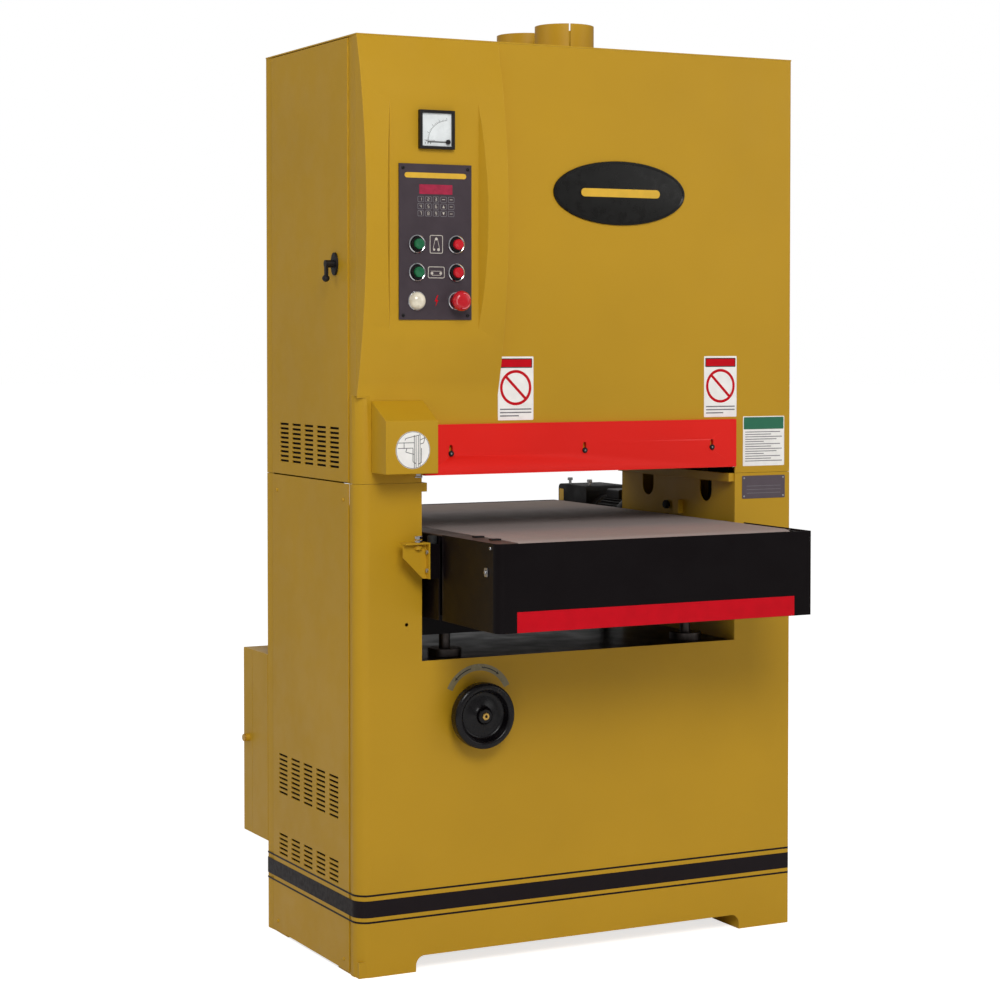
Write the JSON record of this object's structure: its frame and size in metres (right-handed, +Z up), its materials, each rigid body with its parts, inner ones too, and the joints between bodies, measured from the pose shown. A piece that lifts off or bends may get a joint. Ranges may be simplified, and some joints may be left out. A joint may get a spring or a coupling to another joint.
{
  "type": "wide-belt sander",
  "caption": "Floor-standing wide-belt sander: cabinet, sanding head with console, and a rising conveyor bed with a push-to-stop front panel.",
  "frame": {"origin": "on the floor, at the centre of the footprint", "axes": "+Z up, +X to the operator's right, +Y away from the operator, along the feed"},
  "size_m": [1.126, 1.136, 2.01],
  "materials": {
    "mustard_paint": "satin powder coat",
    "red_paint": "satin",
    "black_paint": "satin",
    "black_plastic": "satin",
    "green_plastic": "gloss",
    "red_plastic": "gloss",
    "lamp_glass": "clear gloss",
    "cast_iron": "painted rough",
    "steel": "machined",
    "chrome": "polished chrome",
    "belt_rubber": "matt rough top",
    "black_rubber": "matt",
    "abrasive": "rough grit",
    "chrome_trim": "polished chrome",
    "brass": "satin",
    "label_white": "satin",
    "label_red": "satin",
    "label_green": "satin",
    "label_grey": "satin"
  },
  "bodies": {
    "cabinet": {"lower_front_panel": "mustard_paint", "lower_rear_panel": "mustard_paint", "base_pan": "mustard_paint", "left_column_liner": "mustard_paint", "right_column_liner": "mustard_paint", "sill_deck": "black_paint", "left_side_panel": "mustard_paint", "right_side_panel": "mustard_paint", "head_front_cover": "mustard_paint", "head_rear_cover": "mustard_paint", "head_top_cover": "mustard_paint", "dust_port_front": "mustard_paint", "dust_port_rear": "mustard_paint", "red_guard_strip": "red_paint", "gauge_housing": "mustard_paint", "control_plate": "black_plastic", "ammeter_housing": "black_plastic", "pilot_lamp": "lamp_glass", "head_frame": "cast_iron", "sanding_belt": "abrasive", "tension_cylinder": "steel", "main_motor": "cast_iron", "drive_belts": "black_rubber", "electrical_box": "mustard_paint", "lift_chain": "cast_iron", "lift_gearbox": "cast_iron"},
    "bed": {"bed_frame": "black_paint", "conveyor_belt": "belt_rubber", "bed_gearmotor": "cast_iron", "gauge_bracket": "mustard_paint", "lift_screw_front_left": "steel", "lift_screw_front_right": "steel", "lift_screw_rear_left": "steel", "lift_screw_rear_right": "steel"},
    "stop_panel": {"stop_panel": "black_paint"},
    "feed_drive_roller": {"conveyor_drive_roller": "steel"},
    "feed_idler_roller": {"conveyor_idler_roller": "steel"},
    "contact_drum": {"contact_drum": "black_rubber"},
    "motor_rotor": {"motor_rotor": "steel"},
    "tension_yoke": {"tension_yoke": "cast_iron"},
    "tension_roller": {"tension_roller": "steel"},
    "lift_nut_front_left": {"lift_nut_front_left": "steel"},
    "lift_nut_front_right": {"lift_nut_front_right": "steel"},
    "lift_nut_rear_left": {"lift_nut_rear_left": "steel"},
    "lift_nut_rear_right": {"lift_nut_rear_right": "steel"},
    "handwheel": {"handwheel": "black_plastic"},
    "sander_start_button": {"sander_start_button": "green_plastic"},
    "sander_stop_button": {"sander_stop_button": "red_plastic"},
    "feed_start_button": {"feed_start_button": "green_plastic"},
    "feed_stop_button": {"feed_stop_button": "red_plastic"},
    "emergency_stop_button": {"emergency_stop_button": "red_plastic"},
    "meter_needle": {"meter_needle": "black_plastic"},
    "left_head_door": {"left_head_door": "mustard_paint"},
    "left_door_latch": {"left_door_latch": "black_paint"},
    "right_head_door": {"right_head_door": "mustard_paint"},
    "right_door_latch": {"right_door_latch": "black_paint"},
    "electrical_box_door": {"electrical_box_door": "mustard_paint"},
    "gauge_plunger": {"gauge_plunger": "chrome"},
    "pressure_roller_front": {"pressure_roller_front": "steel"},
    "pressure_roller_rear": {"pressure_roller_rear": "steel"}
  },
  "joints": [
    {"name": "bed_lift", "type": "slide", "parent": "cabinet", "child": "bed", "axis": [0, 0, 1], "range_m": [-0.03, 0.118]},
    {"name": "stop_push", "type": "slide", "parent": "bed", "child": "stop_panel", "axis": [0, 1, 0], "range_m": [0, 0.008], "stiffness_N_per_m": 3000, "springref_m": -0.003},
    {"name": "feed_drive_spin", "type": "hinge", "parent": "bed", "child": "feed_drive_roller", "pos_m": [0, 0.5, 0.866], "axis": [1, 0, 0], "continuous": true},
    {"name": "feed_idler_spin", "type": "hinge", "parent": "bed", "child": "feed_idler_roller", "pos_m": [0, -0.5, 0.866], "axis": [1, 0, 0], "continuous": true},
    {"name": "drum_spin", "type": "hinge", "parent": "cabinet", "child": "contact_drum", "pos_m": [0, 0, 1.1155], "axis": [1, 0, 0], "continuous": true},
    {"name": "motor_spin", "type": "hinge", "parent": "cabinet", "child": "motor_rotor", "pos_m": [0, 0, 0.19], "axis": [1, 0, 0], "continuous": true},
    {"name": "tension_release", "type": "slide", "parent": "cabinet", "child": "tension_yoke", "axis": [0, 0, 1], "range_m": [-0.02, 0], "stiffness_N_per_m": 20000, "springref_m": 0.05},
    {"name": "tension_roller_spin", "type": "hinge", "parent": "tension_yoke", "child": "tension_roller", "pos_m": [0, 0, 1.6885], "axis": [1, 0, 0], "continuous": true},
    {"name": "lift_nut_front_left_turn", "type": "hinge", "parent": "cabinet", "child": "lift_nut_front_left", "pos_m": [-0.3, -0.18, 0.62], "axis": [0, 0, 1], "range_deg": [-2161, 8497]},
    {"name": "lift_nut_front_right_turn", "type": "hinge", "parent": "cabinet", "child": "lift_nut_front_right", "pos_m": [0.3, -0.18, 0.62], "axis": [0, 0, 1], "range_deg": [-2161, 8497]},
    {"name": "lift_nut_rear_left_turn", "type": "hinge", "parent": "cabinet", "child": "lift_nut_rear_left", "pos_m": [-0.3, 0.18, 0.62], "axis": [0, 0, 1], "range_deg": [-2161, 8497]},
    {"name": "lift_nut_rear_right_turn", "type": "hinge", "parent": "cabinet", "child": "lift_nut_rear_right", "pos_m": [0.3, 0.18, 0.62], "axis": [0, 0, 1], "range_deg": [-2161, 8497]},
    {"name": "handwheel_turn", "type": "hinge", "parent": "cabinet", "child": "handwheel", "pos_m": [-0.261, -0.28, 0.534], "axis": [0, 1, 0], "range_deg": [-2161, 8497]},
    {"name": "sander_start_press", "type": "slide", "parent": "cabinet", "child": "sander_start_button", "axis": [0, 1, 0], "range_m": [0, 0.004], "stiffness_N_per_m": 500, "springref_m": -0.002},
    {"name": "sander_stop_press", "type": "slide", "parent": "cabinet", "child": "sander_stop_button", "axis": [0, 1, 0], "range_m": [0, 0.004], "stiffness_N_per_m": 500, "springref_m": -0.002},
    {"name": "feed_start_press", "type": "slide", "parent": "cabinet", "child": "feed_start_button", "axis": [0, 1, 0], "range_m": [0, 0.004], "stiffness_N_per_m": 500, "springref_m": -0.002},
    {"name": "feed_stop_press", "type": "slide", "parent": "cabinet", "child": "feed_stop_button", "axis": [0, 1, 0], "range_m": [0, 0.004], "stiffness_N_per_m": 500, "springref_m": -0.002},
    {"name": "emergency_stop_press", "type": "slide", "parent": "cabinet", "child": "emergency_stop_button", "axis": [0, 1, 0], "range_m": [0, 0.005], "stiffness_N_per_m": 800, "springref_m": -0.002},
    {"name": "meter_swing", "type": "hinge", "parent": "cabinet", "child": "meter_needle", "pos_m": [-0.343, -0.287, 1.731], "axis": [0, 1, 0], "range_deg": [0, 90], "stiffness_Nm_per_rad": 0.002},
    {"name": "left_door_swing", "type": "hinge", "parent": "cabinet", "child": "left_head_door", "pos_m": [-0.533, 0.21575, 1.4875], "axis": [0, 0, 1], "range_deg": [-110, 0]},
    {"name": "left_latch_turn", "type": "hinge", "parent": "left_head_door", "child": "left_door_latch", "pos_m": [-0.533, -0.141, 1.481], "axis": [1, 0, 0], "range_deg": [-90, 0]},
    {"name": "right_door_swing", "type": "hinge", "parent": "cabinet", "child": "right_head_door", "pos_m": [0.533, 0.21575, 1.4875], "axis": [0, 0, 1], "range_deg": [0, 110]},
    {"name": "right_latch_turn", "type": "hinge", "parent": "right_head_door", "child": "right_door_latch", "pos_m": [0.533, -0.141, 1.481], "axis": [1, 0, 0], "range_deg": [-90, 0]},
    {"name": "box_door_swing", "type": "hinge", "parent": "cabinet", "child": "electrical_box_door", "pos_m": [-0.133, 0.344, 0.4055], "axis": [0, 0, 1], "range_deg": [-120, 0]},
    {"name": "gauge_press", "type": "slide", "parent": "cabinet", "child": "gauge_plunger", "axis": [0, 0, 1], "range_m": [0, 0.005], "stiffness_N_per_m": 600, "springref_m": -0.004},
    {"name": "pressure_front_spin", "type": "hinge", "parent": "cabinet", "child": "pressure_roller_front", "pos_m": [0, -0.11, 1.06], "axis": [1, 0, 0], "continuous": true},
    {"name": "pressure_rear_spin", "type": "hinge", "parent": "cabinet", "child": "pressure_roller_rear", "pos_m": [0, 0.11, 1.06], "axis": [1, 0, 0], "continuous": true}
  ],
  "couplings": [
    {"joint": "lift_nut_front_left_turn", "follows": "bed_lift", "rad_per_m": 1256.6},
    {"joint": "lift_nut_front_right_turn", "follows": "bed_lift", "rad_per_m": 1256.6},
    {"joint": "lift_nut_rear_left_turn", "follows": "bed_lift", "rad_per_m": 1256.6},
    {"joint": "lift_nut_rear_right_turn", "follows": "bed_lift", "rad_per_m": 1256.6},
    {"joint": "handwheel_turn", "follows": "bed_lift", "rad_per_m": 1256.6},
    {"joint": "feed_idler_spin", "follows": "feed_drive_spin", "ratio": 1},
    {"joint": "motor_spin", "follows": "drum_spin", "ratio": 0.96774},
    {"joint": "tension_roller_spin", "follows": "drum_spin", "ratio": 1.4}
  ]
}
